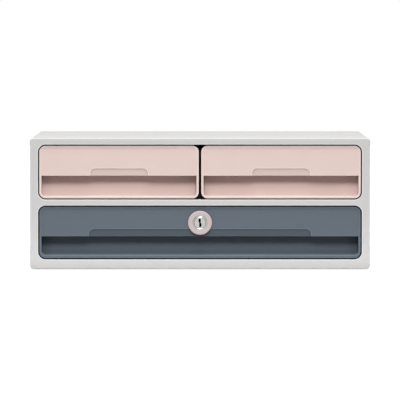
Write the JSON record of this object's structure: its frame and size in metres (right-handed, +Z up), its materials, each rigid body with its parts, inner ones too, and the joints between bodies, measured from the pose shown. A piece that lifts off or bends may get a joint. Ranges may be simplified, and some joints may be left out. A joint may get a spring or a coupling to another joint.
{
  "type": "desktop file drawer",
  "caption": "Landscape desktop drawer unit: small drawers side by side above a wide lockable drawer for A4 paper, in a pale moulded case.",
  "frame": {"origin": "on the resting surface under the middle of the case, at the soles of the feet", "axes": "+Z up, the drawer fronts face -Y, +X to the right of a person who faces the fronts"},
  "size_m": [0.352, 0.262, 0.1369],
  "materials": {
    "case_plastic": "pale grey moulded plastic, fine satin grain",
    "dark_plastic": "charcoal moulded plastic, satin",
    "pink_plastic": "dusty pink moulded plastic, satin",
    "slate_plastic": "slate blue-grey moulded plastic, satin",
    "foot_rubber": "dark rubber, matt",
    "screw_steel": "zinc plated steel",
    "lock_metal": "nickel plated, satin"
  },
  "bodies": {
    "case": {"front_frame": "case_plastic", "top_cover": "case_plastic", "base_tray": "case_plastic", "back_panel": "case_plastic", "middle_shelf": "case_plastic", "centre_divider": "dark_plastic", "foot_front_right": "foot_rubber", "foot_front_left": "foot_rubber", "foot_rear_right": "foot_rubber", "foot_rear_left": "foot_rubber"},
    "left_drawer": {"left_drawer_front": "pink_plastic", "left_drawer_tray": "pink_plastic"},
    "right_drawer": {"right_drawer_front": "pink_plastic", "right_drawer_tray": "pink_plastic"},
    "wide_drawer": {"wide_drawer_front": "slate_plastic", "wide_drawer_tray": "slate_plastic", "lock_escutcheon": "pink_plastic", "lock_barrel": "lock_metal", "lock_nut": "screw_steel"},
    "lock_core": {"lock_plug": "lock_metal", "lock_cam": "screw_steel", "lock_cam_screw": "screw_steel"}
  },
  "joints": [
    {"name": "left_drawer_slide", "type": "slide", "parent": "case", "child": "left_drawer", "axis": [0, -1, 0], "range_m": [0, 0.19]},
    {"name": "right_drawer_slide", "type": "slide", "parent": "case", "child": "right_drawer", "axis": [0, -1, 0], "range_m": [0, 0.19]},
    {"name": "wide_drawer_slide", "type": "slide", "parent": "case", "child": "wide_drawer", "axis": [0, -1, 0], "range_m": [0, 0.19]},
    {"name": "lock_turn", "type": "hinge", "parent": "wide_drawer", "child": "lock_core", "pos_m": [0, -0.1294, 0.04925], "axis": [0, 1, 0], "range_deg": [0, 90]}
  ]
}
